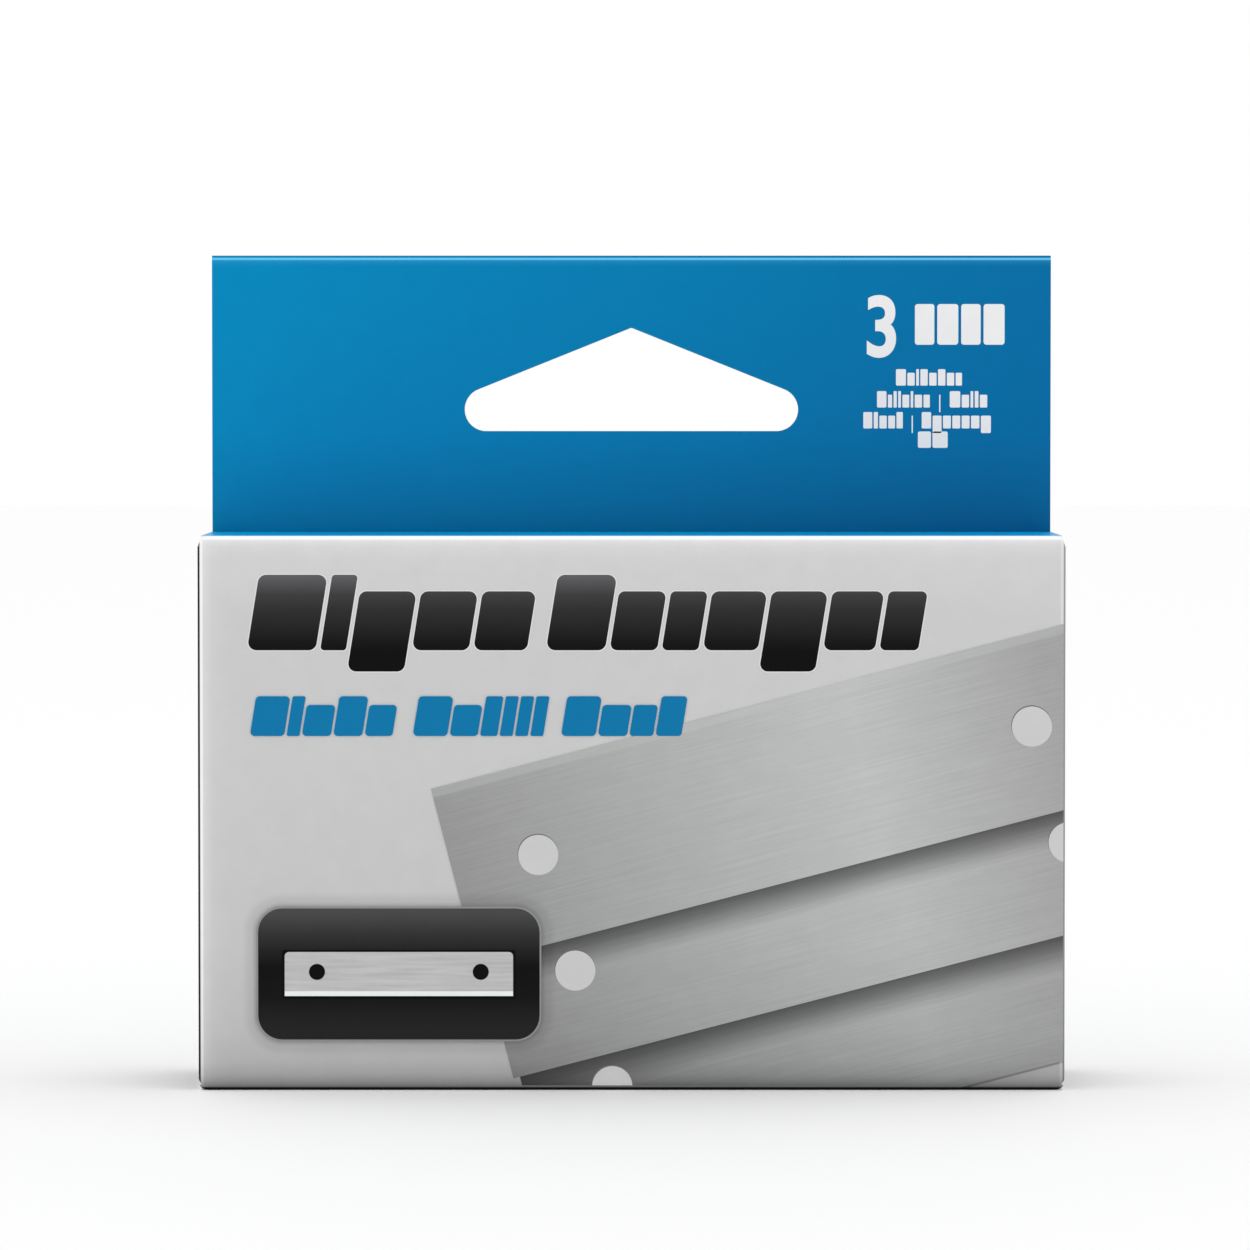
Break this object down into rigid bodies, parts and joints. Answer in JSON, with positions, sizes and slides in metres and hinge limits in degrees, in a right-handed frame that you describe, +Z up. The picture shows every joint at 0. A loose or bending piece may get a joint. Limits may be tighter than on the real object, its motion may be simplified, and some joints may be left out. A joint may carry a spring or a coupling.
{
  "type": "hanging carton of aquarium scraper blades",
  "caption": "Hang-tab folding carton with tuck-end closures, holding flat steel scraper blades in push-on edge guards, for an aquarium algae scraper.",
  "frame": {"origin": "centre of the base, on the surface that the carton stands on", "axes": "+Z up, +X to the right seen from the front, +Y from the front panel to the back panel"},
  "size_m": [0.0804, 0.019, 0.0778],
  "materials": {
    "blue_print": "printed, aqueous gloss coat",
    "blue_and_grey_print": "printed, aqueous gloss coat",
    "grey_print": "printed, aqueous gloss coat",
    "charcoal_print": "printed, aqueous gloss coat",
    "bare_board": "uncoated board",
    "glue": "dried adhesive film",
    "blade_steel": "ground stainless strip",
    "guard_plastic": "extruded polyethylene"
  },
  "bodies": {
    "carton": {"back_panel": "blue_and_grey_print", "header_front_ply": "blue_print", "header_glue_film": "glue", "front_panel": "grey_print", "left_side_panel": "charcoal_print", "right_side_panel": "grey_print", "glue_flap": "bare_board", "seam_glue_film": "glue"},
    "top_lid": {"top_lid": "blue_print"},
    "top_tuck_flap": {"top_tuck_flap": "blue_print"},
    "top_dust_flap_left": {"top_dust_flap_left": "bare_board"},
    "top_dust_flap_right": {"top_dust_flap_right": "bare_board"},
    "bottom_lid": {"bottom_lid": "grey_print"},
    "bottom_tuck_flap": {"bottom_tuck_flap": "grey_print"},
    "bottom_dust_flap_left": {"bottom_dust_flap_left": "bare_board"},
    "bottom_dust_flap_right": {"bottom_dust_flap_right": "bare_board"},
    "blade_1": {"blade_1": "blade_steel"},
    "blade_guard_1": {"blade_guard_1": "guard_plastic"},
    "blade_2": {"blade_2": "blade_steel"},
    "blade_guard_2": {"blade_guard_2": "guard_plastic"},
    "blade_3": {"blade_3": "blade_steel"},
    "blade_guard_3": {"blade_guard_3": "guard_plastic"}
  },
  "joints": [
    {"name": "top_lid_hinge", "type": "hinge", "parent": "carton", "child": "top_lid", "pos_m": [0, 0.00848, 0.0515], "axis": [-1, 0, 0], "range_deg": [0, 88]},
    {"name": "top_tuck_fold", "type": "hinge", "parent": "top_lid", "child": "top_tuck_flap", "pos_m": [0, -0.00843, 0.05104], "axis": [1, 0, 0], "range_deg": [0, 42.3]},
    {"name": "top_dust_fold_left", "type": "hinge", "parent": "carton", "child": "top_dust_flap_left", "pos_m": [-0.03979, 0, 0.05054], "axis": [0, -1, 0], "range_deg": [0, 37]},
    {"name": "top_dust_fold_right", "type": "hinge", "parent": "carton", "child": "top_dust_flap_right", "pos_m": [0.03979, 0, 0.05054], "axis": [0, 1, 0], "range_deg": [0, 37]},
    {"name": "bottom_lid_hinge", "type": "hinge", "parent": "carton", "child": "bottom_lid", "pos_m": [0, -0.00904, 0.00046], "axis": [-1, 0, 0], "range_deg": [0, 88]},
    {"name": "bottom_tuck_fold", "type": "hinge", "parent": "bottom_lid", "child": "bottom_tuck_flap", "pos_m": [0, 0.00843, 0.00046], "axis": [1, 0, 0], "range_deg": [0, 42.3]},
    {"name": "bottom_dust_fold_left", "type": "hinge", "parent": "carton", "child": "bottom_dust_flap_left", "pos_m": [-0.03979, 0, 0.00096], "axis": [0, 1, 0], "range_deg": [0, 37]},
    {"name": "bottom_dust_fold_right", "type": "hinge", "parent": "carton", "child": "bottom_dust_flap_right", "pos_m": [0.03979, 0, 0.00096], "axis": [0, -1, 0], "range_deg": [0, 37]},
    {"name": "guard_1_lift", "type": "slide", "parent": "carton", "child": "blade_guard_1", "axis": [0, 0, 1], "range_m": [0, 0.0185]},
    {"name": "blade_1_unsheath", "type": "slide", "parent": "blade_guard_1", "child": "blade_1", "axis": [0, 0, 1], "range_m": [0, 0.0095]},
    {"name": "guard_2_lift", "type": "slide", "parent": "carton", "child": "blade_guard_2", "axis": [0, 0, 1], "range_m": [0, 0.0185]},
    {"name": "blade_2_unsheath", "type": "slide", "parent": "blade_guard_2", "child": "blade_2", "axis": [0, 0, 1], "range_m": [0, 0.0095]},
    {"name": "guard_3_lift", "type": "slide", "parent": "carton", "child": "blade_guard_3", "axis": [0, 0, 1], "range_m": [0, 0.0185]},
    {"name": "blade_3_unsheath", "type": "slide", "parent": "blade_guard_3", "child": "blade_3", "axis": [0, 0, 1], "range_m": [0, 0.0095]}
  ],
  "couplings": [
    {"joint": "top_tuck_fold", "follows": "top_lid_hinge", "ratio": 0.48},
    {"joint": "top_dust_fold_left", "follows": "top_lid_hinge", "ratio": 0.42},
    {"joint": "top_dust_fold_right", "follows": "top_lid_hinge", "ratio": 0.42},
    {"joint": "bottom_tuck_fold", "follows": "bottom_lid_hinge", "ratio": 0.48},
    {"joint": "bottom_dust_fold_left", "follows": "bottom_lid_hinge", "ratio": 0.42},
    {"joint": "bottom_dust_fold_right", "follows": "bottom_lid_hinge", "ratio": 0.42}
  ]
}
